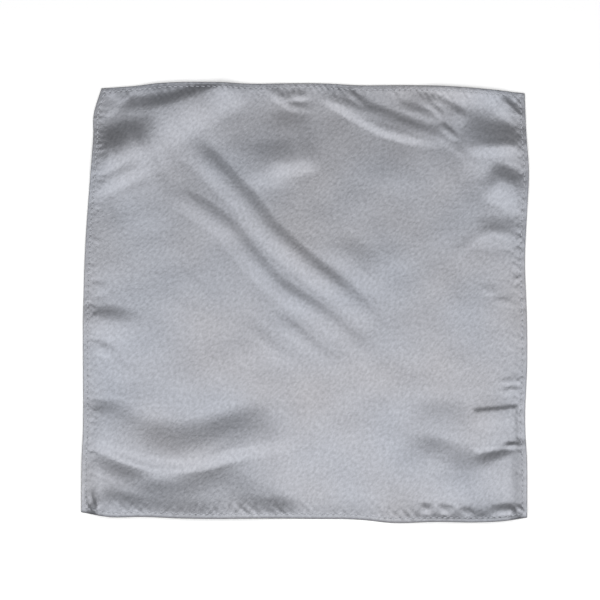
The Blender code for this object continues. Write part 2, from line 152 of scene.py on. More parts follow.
# The folds. Each is a crest through places from left to right, as seen with the photo's top up. "lift"
# is its height. "above" and "below" are the widths over which it falls off on its +Y and -Y sides, at
# its first and its last place. "ends" are the shares of its length over which it rises and dies out.
# Lengths are in millimetres, and places are as it lies on the table, from the square's middle.
MM = 0.001
Fold = namedtuple("Fold", "name lift above below ends places")
FOLDS = (
    Fold("upper diagonal", 0.76, (8.4, 6.6), (9, 9), (0.13, 0.36),
         ((-68, 84.5), (-57, 76), (-45.5, 64), (-34.3, 52.6), (-23, 38.5), (-11.3, 27.3), (1.2, 17.2),
          (13.4, 8), (23.8, -0.6), (33.8, -11), (45, -23.5))),
    Fold("lower diagonal", 0.50, (7, 5.6), (8.5, 8), (0.14, 0.42),
         ((-76, 58), (-64.5, 51.8), (-53.2, 45), (-43, 36.9), (-34.4, 27), (-26.4, 17.5),
          (-17.6, 8.4), (-7.5, 1.2), (3.7, -5.8), (14.7, -13.6), (25.2, -22.4), (36.4, -32.8), (46, -43))),
    Fold("short diagonal", 0.28, (5, 4.6), (7, 6), (0.35, 0.45),
         ((-24, -6), (-12.2, -12.6), (-5.4, -18.2), (1, -23.2), (8.6, -29.3), (20, -39.5))),
    Fold("shortest diagonal", 0.20, (5.2, 5), (6.5, 6), (0.40, 0.40),
         ((-35, -11.2), (-29.4, -16), (-21.6, -22.8), (-15, -28.8), (-5, -37))),
    Fold("swell right of the diagonals", 0.38, (12, 12), (10, 9), (0.40, 0.40),
         ((2, 36), (19, 24.5), (32, 14.5), (50, 1))),
    Fold("left slack", 0.12, (7, 7), (8, 8), (0.40, 0.40),
         ((-74, 16), (-60, 6), (-44, -3))),
    Fold("top left swell", 1.35, (17, 18.4), (19, 17.5), (0.08, 0.26),
         ((-128, 67.5), (-114, 72.6), (-103, 76), (-93, 79.2), (-84, 82.3), (-74, 86))),
    Fold("top left swell's dark side", 0.90, (18, 17), (50, 50), (0.30, 0.30),
         ((-114, 74), (-103, 78), (-94, 81.5), (-85, 86))),
    Fold("top left swell's lip", 0.35, (17.5, 19), (9, 9), (0.08, 0.26),
         ((-128, 67.5), (-114, 72.6), (-103, 76), (-93, 79.2), (-84, 82.3), (-74, 86))),
    Fold("top left shoulder", 1.70, (26, 22), (34, 30), (0.32, 0.46),
         ((-94, 98), (-86, 99.5), (-78, 101.3), (-70, 104.5), (-60, 109), (-50, 113.5), (-38, 118.5))),
    Fold("top left upper swell", 1.25, (12.5, 5), (28, 15), (0.16, 0.14),
         ((-106, 98), (-98, 98.6), (-91, 99.2), (-84, 100.2), (-76, 102.3), (-66.7, 106), (-56, 110.4),
          (-46, 115), (-36, 120))),
    Fold("top left streak", 0.62, (6, 5.5), (7, 6), (0.06, 0.45),
         ((-120, 54.5), (-112, 58), (-105, 61.6), (-98, 65.5), (-91, 70), (-85, 74.5))),
    Fold("top left corner", 0.30, (8, 7), (3, 3), (0.40, 0.40),
         ((-105, 105), (-100, 107.5), (-95.5, 112))),
    Fold("top left corner's foot", 0.18, (6, 6), (3, 3), (0.20, 0.40),
         ((-118, 93.5), (-113, 96), (-106, 101), (-101, 104))),
    Fold("top hem's bright side", 0.50, (5, 5), (18, 16), (0.40, 0.45),
         ((-58, 114), (-42, 114), (-24, 113.5))),
    Fold("top middle dent", 0.72, (13, 16), (13, 14), (0.42, 0.42),
         ((-41, 71), (-22, 72.3), (-3, 74.5))),
    Fold("top middle shade", 0.85, (30, 32), (10, 10), (0.42, 0.35),
         ((-26, 74), (-10, 75), (7, 78))),
    Fold("top edge crease", 0.38, (4, 4), (4, 4), (0.30, 0.40),
         ((-25, 115), (-17, 109.2), (-9, 104.3), (5, 103.6))),
    Fold("top edge's dark spot", 0.42, (4.5, 4.5), (3, 3), (0.40, 0.40),
         ((-17, 108.8), (-8, 109.4), (2, 110.2))),
    Fold("top right band", 0.70, (12, 11), (5, 5.2), (0.16, 0.30),
         ((3, 112), (10, 108.5), (16, 105.5), (22, 101.8), (28, 98.2), (34, 95.2), (40, 92.6), (49, 90.1),
          (58, 88.1), (68, 86.8), (76, 86))),
    Fold("top right band's shade", 0.50, (11, 12), (40, 40), (0.42, 0.30),
         ((40, 92), (49, 89.4), (58, 87.3), (68, 85.8), (76, 85), (86, 84.6))),
    Fold("first top right streak", 0.22, (4.8, 4.8), (5, 5), (0.15, 0.30),
         ((8, 107), (16, 105.5), (24, 103.8), (32, 102), (40, 100), (48, 97.3), (56, 94.2), (64, 91.4),
          (72, 89.5), (80, 88))),
    Fold("second top right streak", 0.34, (5, 5), (6, 6), (0.35, 0.40),
         ((41, 106.5), (50, 104), (58, 100.8), (66, 97.4), (74, 94))),
    Fold("third top right streak", 0.62, (5, 5.6), (20, 20), (0.40, 0.30),
         ((50, 110), (58, 108.7), (66, 107.3), (73, 104.2), (79, 100), (84, 96.5))),
    Fold("fourth top right streak", 0.30, (3, 3), (3, 3), (0.40, 0.40),
         ((18.5, 113.5), (22, 110.8), (26.5, 107.5), (31, 104.5))),
    Fold("short sharp crease", 0.32, (2.8, 2.8), (3.6, 3.6), (0.40, 0.40),
         ((67.5, 97), (71.5, 93.6), (75.5, 90), (79, 86.5))),
    Fold("short sharp crease beside it", 0.25, (3, 3), (2.4, 2.4), (0.40, 0.40),
         ((59.5, 108.5), (63, 106.2), (68.5, 101.2), (71.5, 98))),
    Fold("top right swell", 1.00, (20, 12), (21, 15), (0.30, 0.05),
         ((77, 85.4), (86, 84.5), (95, 83.4), (104, 83.6), (113, 83.9), (126, 83.9))),
    Fold("top right swell's lip", 0.55, (20, 12), (7, 5), (0.30, 0.05),
         ((77, 85.4), (86, 84.5), (95, 83.4), (104, 83.6), (113, 83.9), (126, 83.9))),
    Fold("top right swell's edge", 0.22, (4, 4), (4, 4), (0.40, 0.05),
         ((84, 85.2), (95, 84.4), (104, 84.8), (113, 84.8), (126, 84.6))),
    Fold("top right hem's bright side", 1.20, (8, 8), (16, 14), (0.30, 0.20),
         ((54, 119.5), (68, 119.5), (82, 119), (96, 117), (110, 113))),
    Fold("right upper swell", 1.55, (9.5, 12), (14, 15), (0.34, 0.05),
         ((92, 68.5), (99, 66.3), (106, 63), (113, 59.3), (126, 54.5))),
    Fold("right middle swell", 0.45, (9, 9), (10, 10), (0.40, 0.05),
         ((82, 39.5), (94, 38), (106, 37.5), (126, 38))),
    Fold("top right crease", 0.12, (4, 4), (3, 3), (0.35, 0.40),
         ((64, 92), (72.5, 86), (81, 79.5), (89, 72))),
    Fold("right slack", 0.10, (8, 7.5), (7.5, 7), (0.40, 0.40),
         ((70.5, 76), (78, 62), (85, 53), (93, 47))),
    Fold("top right corner", 0.80, (4.4, 4), (9, 8), (0.36, 0.20),
         ((98, 110.5), (104, 107), (109.5, 102.6), (117, 96.5))),
    Fold("right arch", 0.15, (5, 5), (3, 3), (0.30, 0.30),
         ((74, 21), (80, 27), (88, 33), (97, 37.5), (105, 35.5), (112, 29))),
    Fold("right mark", 0.14, (3.4, 3.4), (3.4, 3.4), (0.40, 0.40),
         ((88, 7.5), (95.5, 6.3), (103, 5.5))),
    Fold("right mark's fellow", 0.17, (3.2, 3.2), (3.2, 3.2), (0.40, 0.30),
         ((96, 1.5), (103, 0.6), (111, 0.3))),
    Fold("right nick", 0.22, (3.4, 3.2), (2.4, 2.4), (0.40, 0.10),
         ((99, -42.7), (106, -41.8), (118, -40.7))),
    Fold("right nick's foot", 0.32, (3, 3), (3, 3), (0.40, 0.30),
         ((101, -47.5), (106, -46.4), (112, -44.8))),
    Fold("below the label", 1.85, (11, 6), (26, 22), (0.55, 0.05),
         ((84, -91), (91, -88.8), (98, -85), (105, -81.2), (113, -78.9), (125, -76.7))),
    Fold("label's slack", 0.25, (20, 20), (24, 24), (0.30, 0.15),
         ((86, -79), (100, -78), (116, -76.5))),
    Fold("left of the label's fold", 1.80, (15, 16), (24, 24), (0.35, 0.40),
         ((44, -82), (60, -84), (72, -87), (85, -90), (100, -93))),
    Fold("label's lower crease", 0.60, (2.6, 2.6), (2.3, 2.3), (0.45, 0.10),
         ((103, -75.8), (108, -75.1), (118, -74.4))),
    Fold("left of the label", 0.95, (18, 18), (24, 22), (0.40, 0.40),
         ((48, -66), (64, -68.5), (78, -69), (94, -68))),
    Fold("above the label", 0.35, (12, 12), (8, 8), (0.30, 0.20),
         ((84, -60), (97, -59.5), (112, -59))),
    Fold("bottom right swell", 2.50, (36, 36), (6, 6), (0.35, 0.05),
         ((34, -114), (64, -116), (96, -114), (126, -111))),
    Fold("bottom right hem", 1.15, (11, 11), (6, 6), (0.35, 0.05),
         ((46, -120), (66, -119.5), (86, -118.5), (104, -117.5), (126, -115.5))),
    Fold("left swell", 1.00, (7, 12), (14, 12), (0.08, 0.50),
         ((-126, -13), (-112, -12.8), (-98, -14.8), (-84, -21))),
    Fold("left spot", 0.45, (5, 5), (5, 5), (0.35, 0.50),
         ((-114, -25), (-107.5, -27.6), (-98, -33))),
    Fold("left spot's tail", 0.20, (7, 7), (7, 7), (0.40, 0.40),
         ((-106, -31), (-98, -38.5), (-90, -45))),
    Fold("left tick", 0.22, (4, 4), (4, 4), (0.30, 0.50),
         ((-118, 3.5), (-110.5, 4.6), (-102, 7))),
    Fold("lower left wedge", 1.05, (8.5, 14), (42, 36), (0.05, 0.75),
         ((-118, -63), (-108, -63.2), (-100, -64.7), (-90, -68.5), (-80, -72.5))),
    Fold("lower left arc", 1.60, (20, 22), (7.5, 8), (0.28, 0.30),
         ((-122, -72), (-110, -74.8), (-98, -78.5), (-88, -81.7), (-77, -83.8), (-66, -84.5), (-53, -83),
          (-40, -79), (-26, -75.9), (-12, -73.2), (2, -71.2))),
    Fold("lower left arc's long side", 0.70, (22, 23), (60, 60), (0.55, 0.24),
         ((-108, -76), (-88, -81.7), (-66, -84.5), (-48, -82), (-26, -75.9), (-12, -73.2))),
    Fold("bright side of the arc", 0.38, (20, 20), (13, 12), (0.42, 0.42),
         ((-92, -83.5), (-80, -85), (-68, -85.5), (-56, -84))),
    Fold("lower left crease", 2.05, (14, 11), (46, 40), (0.06, 0.60),
         ((-126, -87.5), (-112, -91.5), (-103, -95.5), (-93.5, -99.1), (-84, -102.1), (-74, -105.5),
          (-66, -109))),
    Fold("bottom left swell", 2.20, (24, 20), (6, 6), (0.42, 0.50),
         ((-122, -114), (-108, -116), (-94, -117.5), (-80, -118.5), (-62, -119))),
    Fold("dark side of the bottom hem", 0.80, (16, 15), (6, 6), (0.35, 0.40),
         ((-86, -119.3), (-62, -119.8), (-34, -120))),
    Fold("bottom left ripple", 0.26, (6, 6), (6, 6), (0.30, 0.40),
         ((-108, -105), (-101, -106.5), (-94, -108), (-86, -110.5), (-78, -114))),
    Fold("bottom swell", 4.20, (10, 56), (8, 8), (0.62, 0.38),
         ((-100, -112), (-84, -114.5), (-66, -115.5), (-46, -115.5), (-27, -114), (-8, -113))),
    Fold("end of the bottom swell", 0.85, (30, 10), (6, 6), (0.45, 0.40),
         ((-50, -114), (-36, -114.5), (-22, -115), (-10, -115.5), (2, -115.5))),
    Fold("bottom ripples", 0.50, (10, 9), (6, 6), (0.45, 0.35),
         ((-42, -111), (-20, -112), (4, -113))),
    Fold("bottom left corner", 0.36, (2.0, 2.2), (2.0, 2.2), (0.35, 0.30),
         ((-114.5, -101), (-112, -106.5), (-109, -113))),
    Fold("bottom left corner's fellow", 0.32, (2.2, 2.2), (2.2, 2.2), (0.40, 0.30),
         ((-110.5, -101), (-108, -106), (-105, -111.5))),
    Fold("first bottom right groove", 0.46, (3.6, 3.6), (3, 3), (0.40, 0.40),
         ((58, -109), (63, -108.6), (68, -109.6))),
    Fold("second bottom right groove", 0.50, (3.4, 3.4), (3, 3), (0.40, 0.40),
         ((67.5, -109), (72.5, -108.8), (78, -110))),
    Fold("third bottom right groove", 0.38, (3.4, 3.4), (3, 3), (0.40, 0.40),
         ((78, -110), (83.5, -109.6), (89.5, -110.4))),
    Fold("fourth bottom right groove", 0.70, (4.2, 4), (3, 3), (0.50, 0.06),
         ((91, -110.4), (100, -109), (107, -108.4), (122, -107.6))),
)
CREST_SAMPLES = 81

# The hem is stiff, so it keeps the height that the folds have this far in. Near the left and the
# right side the folds sink, over this distance, to this share of their height.
HEM_HOLD = 0.0014
SIDE_CALM = 0.010
SIDE_CALM_LEAST = 0.25

# Low swells all over, which no cloth that has lain folded is without: their number, the shortest and
# longest distance from swell to swell, the slope that each adds, the level they are raised by, and
# the seed.
SWELL_COUNT = 46
SWELL_LENGTHS = (0.013, 0.050)
SWELL_SLOPE = 0.0032
SWELL_RAISE = 0.0003
SWELL_SEED = 11

# Puckers beside the hems, where the thread draws the cloth in. The lifts are those of the top, right,
# bottom and left side. A pucker is full at the peak's distance in from the side, weaker on the hem
# and gone at the reach. Along the side puckers come and go by the level, the swing and the two
# beats, and each slants by a share of the distance in.
PUCKER_COUNT = 16
PUCKER_LENGTHS = (0.0030, 0.0078)
PUCKER_LIFTS = (0.00007, 0.00008, 0.00010, 0.00007)
PUCKER_ON_HEM = 0.35
PUCKER_PEAK = 0.0042
PUCKER_REACH = 0.0105
PUCKER_LEVEL = 0.55
PUCKER_SWING = 0.45
PUCKER_BEATS = (0.047, 0.029)
PUCKER_SLANTS = (-1.2, 1.4)
PUCKER_SEED = 40

# Section across the hem, as (distance in from the edge, height of the cloth's lower face over the
# level at which it would rest). Two turned layers carry it beside the edge, and it sinks inwards.
HEM_SECTION = (
    (0.0003, 0.00062),
    (0.0012, 0.00061),
    (0.0024, 0.00058),
    (0.0034, 0.00052),
    (0.0050, 0.00040),
    (0.0070, 0.00028),
    (0.0100, 0.00016),
    (0.0150, 0.00007),
    (0.0220, 0.00002),
    (0.0320, 0.00000),
)

# The label under the right side lifts the cloth: the label's inner edge, its middle where it meets
# the side, half its width, its lean, the lift, how far in that begins, and how wide its slopes are.
LABEL_EDGE = 0.0872
LABEL_MIDDLE = -0.0645
LABEL_HALF_WIDTH = 0.0092
LABEL_LEAN = 0.110
LABEL_LIFT = 0.00055
LABEL_INSET = 0.0030
LABEL_SLOPE = 0.0026


def fold_lift(fold, u, v):
    """Height of one fold: (1 - q^2)^2 for the share q of its width across the crest, eased at its ends."""
    places = np.array(fold.places) * MM
    widest = max(fold.above + fold.below) * MM
    lift = np.zeros_like(u)
    low, high = places.min(0) - widest, places.max(0) + widest
    near_it = (u > low[0]) & (u < high[0]) & (v > low[1]) & (v < high[1])
    pu, pv = u[near_it], v[near_it]
    knots = np.arange(len(places)) / (len(places) - 1)
    t = np.linspace(0, 1, CREST_SAMPLES)
    curve = np.stack([smooth_through(np.column_stack([knots, places[:, k]]), t) for k in (0, 1)], 1)
    tangent = np.gradient(curve, t, axis=0)
    length = np.hypot(tangent[:, 0], tangent[:, 1])
    closest = np.argmin((pu[:, None] - curve[:, 0]) ** 2 + (pv[:, None] - curve[:, 1]) ** 2, axis=1)
    du, dv = pu - curve[closest, 0], pv - curve[closest, 1]
    tu, tv, size = tangent[closest, 0], tangent[closest, 1], length[closest]
    across = (tu * dv - tv * du) / size
    along = np.clip(t[closest] + (tu * du + tv * dv) / size**2, 0, 1)
    above = fold.above[0] + (fold.above[1] - fold.above[0]) * along
    below = fold.below[0] + (fold.below[1] - fold.below[0]) * along
    q = np.clip(np.abs(across) / (MM * np.where(across > 0, above, below)), 0, 1)
    ends = ease(along / fold.ends[0]) * ease((1 - along) / fold.ends[1])
    lift[near_it] = fold.lift * MM * (1 - q * q) ** 2 * ends
    return lift


def waves(places, count, lengths, seed):
    """Sum of sine waves along seeded directions, each as high as it is long, so all slopes are alike."""
    chance = np.random.default_rng(seed)
    length = np.exp(chance.uniform(np.log(lengths[0]), np.log(lengths[1]), count))
    turn = chance.uniform(0, 2 * np.pi, count)
    start = chance.uniform(0, 2 * np.pi, count)
    total = np.zeros_like(places[0])
    for k in range(count):
        way = np.cos(turn[k]) * places[0] + np.sin(turn[k]) * places[1]
        total += length[k] / (2 * np.pi) * np.sin(2 * np.pi * way / length[k] + start[k])
    return total


def folded(u, v):
    """Height of folds and swells. The hem is stiff across, so it carries on what lies just inside it."""
    held_u = np.clip(u, HEM_HOLD - HALF, HALF - HEM_HOLD)
    held_v = np.clip(v, HEM_HOLD - HALF, HALF - HEM_HOLD)
    x, y = spread(held_u, held_v)
    calm = SIDE_CALM_LEAST + (1 - SIDE_CALM_LEAST) * ease((HALF - np.abs(held_u)) / SIDE_CALM)
    folds = calm * sum(fold_lift(fold, x, y) for fold in FOLDS)
    swells = waves((held_u, held_v), SWELL_COUNT, SWELL_LENGTHS, SWELL_SEED)
    return folds + SWELL_RAISE + SWELL_SLOPE * swells


def puckers(u, v):
    """Ripples along each hem: waves along the side, strongest a few millimetres in, slanting a little."""
    total = np.zeros_like(u)
    for side, (along, inset) in enumerate(((u, HALF - v), (v, HALF - u), (u, HALF + v), (v, HALF + u))):
        strength = PUCKER_ON_HEM + (1 - PUCKER_ON_HEM) * ease(inset / PUCKER_PEAK)
        strength = strength * ease((PUCKER_REACH - inset) / (PUCKER_REACH - PUCKER_PEAK))
        slow_beat = np.sin(2 * np.pi * along / PUCKER_BEATS[0] + 3 * side)
        quick_beat = np.sin(2 * np.pi * along / PUCKER_BEATS[1] + side)
        uneven = PUCKER_LEVEL + PUCKER_SWING * slow_beat * quick_beat
        chance = np.random.default_rng(PUCKER_SEED + side)
        length = np.exp(chance.uniform(np.log(PUCKER_LENGTHS[0]), np.log(PUCKER_LENGTHS[1]), PUCKER_COUNT))
        start = chance.uniform(0, 2 * np.pi, PUCKER_COUNT)
        slant = chance.uniform(*PUCKER_SLANTS, PUCKER_COUNT)
        ripple = sum(np.sin(2 * np.pi * (along + slant[k] * inset) / length[k] + start[k])
                     for k in range(PUCKER_COUNT))
        total += PUCKER_LIFTS[side] * strength * uneven * ripple / np.sqrt(PUCKER_COUNT / 2)
    return total


def cloth_lift(u, v):
    """Height of the cloth's lower face: its folds, the hem under its rim and the label under its side."""
    inset = inset_of(u, v)
    hem = smooth_through(HEM_SECTION, np.clip(inset, HEM_SECTION[0][0], HEM_SECTION[-1][0]))
    beside_label = np.abs(v - LABEL_MIDDLE - LABEL_LEAN * (u - HALF))
    over_label = (ease((u - LABEL_EDGE) / LABEL_SLOPE)
                  * ease((LABEL_HALF_WIDTH + LABEL_SLOPE - beside_label) / LABEL_SLOPE)
                  * ease((inset - LABEL_INSET) / LABEL_INSET))
    return folded(u, v) + hem + LABEL_LIFT * over_label + puckers(u, v)


def grid_faces(rows, columns):
    """Two triangles for each cell of a grid, split along the way the long creases run."""
    index = np.arange(rows * columns).reshape(rows, columns)
    a, b = index[:-1, :-1].ravel(), index[:-1, 1:].ravel()
    c, d = index[1:, 1:].ravel(), index[1:, :-1].ravel()
    return np.concatenate([np.stack([a, b, d], 1), np.stack([b, c, d], 1)])


def rim_of(rows, columns):
    """Indices of a grid's outermost points, once round and counterclockwise."""
    index = np.arange(rows * columns).reshape(rows, columns)
    return np.concatenate([index[0, :-1], index[:-1, -1], index[-1, :0:-1], index[:0:-1, 0]])


def band_faces(first, second):
    """Two triangles for each step between two closed rings of points."""
    first_next, second_next = np.roll(first, -1), np.roll(second, -1)
    return np.concatenate([np.stack([first, first_next, second], 1),
                           np.stack([first_next, second_next, second], 1)])


def half_band_faces(fine, coarse):
    """Three triangles for each step between a ring and one that has half as many points."""
    even, odd, after = fine[0::2], fine[1::2], np.roll(fine[0::2], -1)
    coarse_next = np.roll(coarse, -1)
    return np.concatenate([np.stack([even, odd, coarse], 1), np.stack([odd, coarse_next, coarse], 1),
                           np.stack([odd, after, coarse_next], 1)])


def rows_of(*parts):
    """One row for each point of a grid, with the arrays' values side by side."""
    return np.stack(parts, -1).reshape(-1, len(parts))


def add_mesh(name, points, faces, materials, places, material_of=None):
    """Mesh object at the origin from points and triangles, whose UV is each point's place on the cloth."""
    uv = places / SIDE + 0.5
    mesh = bpy.data.meshes.new(name)
    mesh.from_pydata((points + OFFSET).tolist(), [], faces.tolist())
    layer = mesh.uv_layers.new(name="cloth")
    layer.data.foreach_set("uv", uv[faces.ravel()].astype(np.float32).ravel())
    for material in materials:
        mesh.materials.append(material)
    if material_of is not None:
        mesh.polygons.foreach_set("material_index", material_of)
    mesh.shade_smooth()
    piece = bpy.data.objects.new(name, mesh)
    bpy.context.scene.collection.objects.link(piece)
    return piece


def linear(hex_colour):
    """sRGB hex colour as linear red, green, blue and full alpha."""
    srgb = np.array([int(hex_colour[k:k + 2], 16) for k in (1, 3, 5)]) / 255
    return (*np.where(srgb <= 0.04045, srgb / 12.92, ((srgb + 0.055) / 1.055) ** 2.4), 1.0)


def add_node(tree, kind, settings, inputs):
    """One shader node with its settings, and its inputs as values or as other nodes' outputs."""
    node = tree.nodes.new(kind)
    for key, value in settings.items():
        setattr(node, key, value)
    for key, value in inputs.items():
        if isinstance(value, bpy.types.NodeSocket):
            tree.links.new(value, node.inputs[key])
        else:
            node.inputs[key].default_value = value
    return node


def new_material(name):
    """Material with an empty node tree."""
    material = bpy.data.materials.new(name)
    material.use_nodes = True
    material.node_tree.nodes.clear()
    return material, material.node_tree


def scaled(tree, vector, share):
    """A colour or a place times a number."""
    node = add_node(tree, "ShaderNodeVectorMath", {"operation": "SCALE"}, {0: vector, "Scale": share})
    return node.outputs[0]


def cloth_millimetres(tree):
    """Place on the cloth in millimetres: its UV, which goes from 0 to 1 along a side, times the side."""
    cloth_uv = add_node(tree, "ShaderNodeUVMap", {"uv_map": "cloth"}, {})
    return scaled(tree, cloth_uv.outputs[0], SIDE / MM)


def levels(tree, value, given, wanted, curve="LINEAR"):
    """A value brought from the given range to the wanted one and kept in it, on a line or smooth step."""
    node = add_node(tree, "ShaderNodeMapRange", {"interpolation_type": curve},
                    {"Value": value, "From Min": given[0], "From Max": given[1],
                     "To Min": wanted[0], "To Max": wanted[1]})
    return node.outputs[0]


def add_bump(tree, height, depth, under=None):
    """Relief as deep as given, in metres, on top of the relief under it where there is one."""
    inputs = {"Height": height, "Distance": depth}
    if under is not None:
        inputs["Normal"] = under
    return add_node(tree, "ShaderNodeBump", {}, inputs).outputs[0]


def add_finish(tree, inputs):
    """The shader with its inputs, joined to the material's output."""
    shader = add_node(tree, "ShaderNodeBsdfPrincipled", {}, inputs)
    add_node(tree, "ShaderNodeOutputMaterial", {}, {"Surface": shader.outputs[0]})


# Material: polyester satin, smooth side. Long warp floats lie side by side, which gives a broad soft
# sheen that turns dark as soon as the cloth tips away from the window. Real floats are a tenth of a
# millimetre wide, too fine to show, so they are drawn coarser, 1.3 mm wide and 2.4 mm long, with
# slubs 1.8 mm apart. The dye is a little warmer or cooler in patches of about 48 mm. Lengths are in
# millimetres, and the depths of bumps are in metres.
FLOAT_WIDTH = 1.3
FLOAT_LENGTH = 2.4
FLOAT_TURN = np.radians(52)
SLUB_SPACING = 1.8
SLUB_SHARE = 0.45
DYE_SPACING = 48.0
COOL_SILVER = "#868A92"
WARM_SILVER = "#8C8B8E"
NOISE_RANGE = (0.3, 0.7)
FLOAT_SHADES = (0.86, 1.14)
FLOAT_BUMP = 0.000100

satin, tree = new_material("silver_satin")
millimetres = cloth_millimetres(tree)
float_place = add_node(tree, "ShaderNodeMapping", {"vector_type": "TEXTURE"},
                       {"Vector": millimetres, "Rotation": (0, 0, FLOAT_TURN),
                        "Scale": (FLOAT_LENGTH, FLOAT_WIDTH, 1)})
floats = add_node(tree, "ShaderNodeTexNoise", {"noise_dimensions": "2D"},
                  {"Vector": float_place.outputs[0], "Scale": 1.0, "Detail": 1.5, "Roughness": 0.6})
slubs = add_node(tree, "ShaderNodeTexNoise", {"noise_dimensions": "2D"},
                 {"Vector": millimetres, "Scale": 1 / SLUB_SPACING, "Detail": 2.0, "Roughness": 0.55})
grain = add_node(tree, "ShaderNodeMix", {"data_type": "FLOAT"},
                 {"Factor": SLUB_SHARE, "A": floats.outputs["Fac"], "B": slubs.outputs["Fac"]})
dye = add_node(tree, "ShaderNodeTexNoise", {"noise_dimensions": "2D"},
               {"Vector": millimetres, "Scale": 1 / DYE_SPACING, "Detail": 1.0})
tint = add_node(tree, "ShaderNodeMix", {"data_type": "RGBA"},
                {"Factor": dye.outputs["Fac"], "A": linear(COOL_SILVER), "B": linear(WARM_SILVER)})
colour = scaled(tree, tint.outputs["Result"], levels(tree, grain.outputs[0], NOISE_RANGE, FLOAT_SHADES))

# Along the hems of the same satin. The needle has drawn the cloth in at each end of a stitch: a pit
# is dented there, with painted shade in it, by the distance to the nearest place where stitches meet.
# A painted shadow darkens the rolled edge on the square's -Y side, darkest at the very edge. Painted
# shade darkens the cloth by the left and right hems a little. Radius and widths are in millimetres.
THREAD_INSET = 0.0024
STITCHES_A_SIDE = 76
PITCH = 2 * (HALF - THREAD_INSET) / STITCHES_A_SIDE
PIT_RADIUS = 0.80
PIT_PAINTED_SHADE = 0.88
PIT_DEPTH = 0.00005
EDGE_LINE = 1.5
EDGE_PAINTED_SHADOW = 0.32
SIDE_PAINTED_SHADE = 0.95
SIDE_PAINTED_SHADE_WIDTHS = (1.0, 12.0)
EDGE = HALF / MM

centred = add_node(tree, "ShaderNodeVectorMath", {"operation": "SUBTRACT"},
                   {0: millimetres, 1: (EDGE, EDGE, 0)})
unsigned = add_node(tree, "ShaderNodeVectorMath", {"operation": "ABSOLUTE"}, {0: centred.outputs[0]})
signed_axes = add_node(tree, "ShaderNodeSeparateXYZ", {}, {0: centred.outputs[0]})
axes = add_node(tree, "ShaderNodeSeparateXYZ", {}, {0: unsigned.outputs[0]})
pits = []
for first, second in ((0, 1), (1, 0)):
    along_row = add_node(tree, "ShaderNodeMath", {"operation": "PINGPONG"},
                         {0: axes.outputs[first], 1: PITCH / 2 / MM})
    from_row = add_node(tree, "ShaderNodeMath", {"operation": "SUBTRACT"},
                        {0: axes.outputs[second], 1: (HALF - THREAD_INSET) / MM})
    place = add_node(tree, "ShaderNodeCombineXYZ", {}, {0: along_row.outputs[0], 1: from_row.outputs[0]})
    away = add_node(tree, "ShaderNodeVectorMath", {"operation": "LENGTH"}, {0: place.outputs[0]})
    pits.append(away.outputs["Value"])
nearest = add_node(tree, "ShaderNodeMath", {"operation": "MINIMUM"}, {0: pits[0], 1: pits[1]})
pit = levels(tree, nearest.outputs[0], (0, PIT_RADIUS), (0, 1), "SMOOTHSTEP")
# Painted shade in the stitch pits: their colour is darkened, on top of the bump's real dent.
colour = scaled(tree, colour, levels(tree, pit, (0, 1), (PIT_PAINTED_SHADE, 1)))
# Painted shadow along the rolled edge on the -Y side, darkest at the very edge.
lower_edge_shadow = (EDGE_LINE - EDGE, -EDGE)
colour = scaled(tree, colour, levels(tree, signed_axes.outputs[1], lower_edge_shadow, (1, EDGE_PAINTED_SHADOW)))
# Painted shade on the cloth beside the left and right hems.
painted_shade_beside_hem = (EDGE - SIDE_PAINTED_SHADE_WIDTHS[1], EDGE - SIDE_PAINTED_SHADE_WIDTHS[0])
colour = scaled(tree, colour, levels(tree, axes.outputs[0], painted_shade_beside_hem, (1, SIDE_PAINTED_SHADE), "SMOOTHSTEP"))
relief = add_bump(tree, grain.outputs[0], FLOAT_BUMP, under=add_bump(tree, pit, PIT_DEPTH))
add_finish(tree, {"Base Color": colour, "Metallic": 0.75, "Roughness": 0.42, "Sheen Weight": 0.1,
                  "Sheen Roughness": 0.4, "Normal": relief})

# Material: the same satin's dull back, where the short weft binds the floats. The places where it
# does so are drawn coarser than real, 0.6 mm apart.
BACK_SILVER = "#7E8086"
BACK_SHADES = (0.9, 1.1)
BINDING_SPACING = 0.625
BINDING_BUMP = 0.00002

satin_back, tree = new_material("silver_satin_back")
binding = add_node(tree, "ShaderNodeTexNoise", {"noise_dimensions": "2D"},
                   {"Vector": cloth_millimetres(tree), "Scale": 1 / BINDING_SPACING, "Detail": 2.0,
                    "Roughness": 0.6})
shade = levels(tree, binding.outputs["Fac"], NOISE_RANGE, BACK_SHADES)
add_finish(tree, {"Base Color": scaled(tree, linear(BACK_SILVER)[:3], shade), "Metallic": 0.2,
                  "Roughness": 0.62, "Normal": add_bump(tree, binding.outputs["Fac"], BINDING_BUMP)})

# The square's grid has its outer lines at these distances in from the edge, close together over the
# hem, then a gap, and even cells in between. Rings carry it round the rolled edge, which turns from
# the first angle to the second, and on round the back of the turned layer.
EDGE_LINES = (0.0003, 0.0006, 0.0010, 0.0015, 0.0020, 0.0024, 0.0029, 0.0034, 0.0040, 0.0047)
EVEN_CELLS = 240
EVEN_GAP = 0.0009
NOSE_ANGLES = (62, -90)
NOSE_HALF_HEIGHT = 0.00042
NOSE_ROWS = 7
WRAP = 0.00100
TURN_BACK = 1.6 * CLOTH

even_half = HALF - EDGE_LINES[-1] - EVEN_GAP
lines = np.concatenate([-HALF + np.array(EDGE_LINES), np.linspace(-even_half, even_half, EVEN_CELLS + 1),
                        HALF - np.array(EDGE_LINES[::-1])])
u, v = np.meshgrid(lines, lines)
low = cloth_lift(u, v)
x, y = spread(u, v)
rows, columns = u.shape
top_points = rows_of(x, y, low + CLOTH)
under_points = rows_of(x[::2, ::2], y[::2, ::2], low[::2, ::2])
under_rows = (rows + 1) // 2

